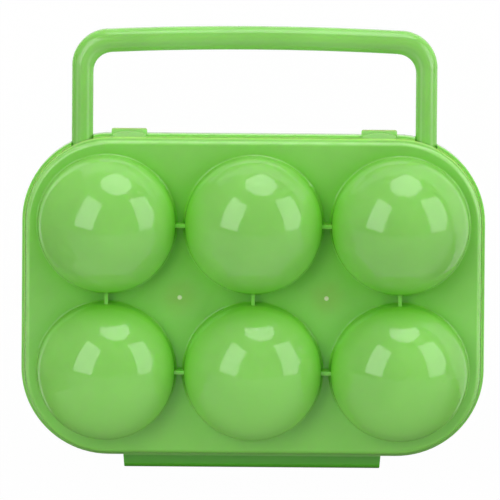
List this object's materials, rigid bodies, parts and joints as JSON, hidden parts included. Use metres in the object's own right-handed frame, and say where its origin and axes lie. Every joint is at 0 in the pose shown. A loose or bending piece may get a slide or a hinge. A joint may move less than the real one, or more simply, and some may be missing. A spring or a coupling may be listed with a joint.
{
  "type": "reusable egg carton",
  "caption": "Flat hinged egg carrier: two moulded half shells with round cups, a fold along one side and a carrying handle on the other.",
  "frame": {"origin": "under the middle of the whole outline, on the plane that the six lower cups rest on", "axes": "+X along the hinge, +Y from the hinge side to the handle, +Z from the base up to the lid"},
  "size_m": [0.195, 0.1872, 0.0702],
  "materials": {
    "green_shell": "glossy moulded plastic, clear apple green, a little translucent at thin edges",
    "green_handle": "glossy moulded plastic, clear apple green"
  },
  "bodies": {
    "base": {"base_shell": "green_shell", "handle": "green_handle"},
    "lid": {"lid_shell": "green_shell"}
  },
  "joints": [
    {"name": "lid_hinge", "type": "hinge", "parent": "base", "child": "lid", "pos_m": [0, -0.09195, 0.0351], "axis": [1, 0, 0], "range_deg": [0, 180]}
  ]
}
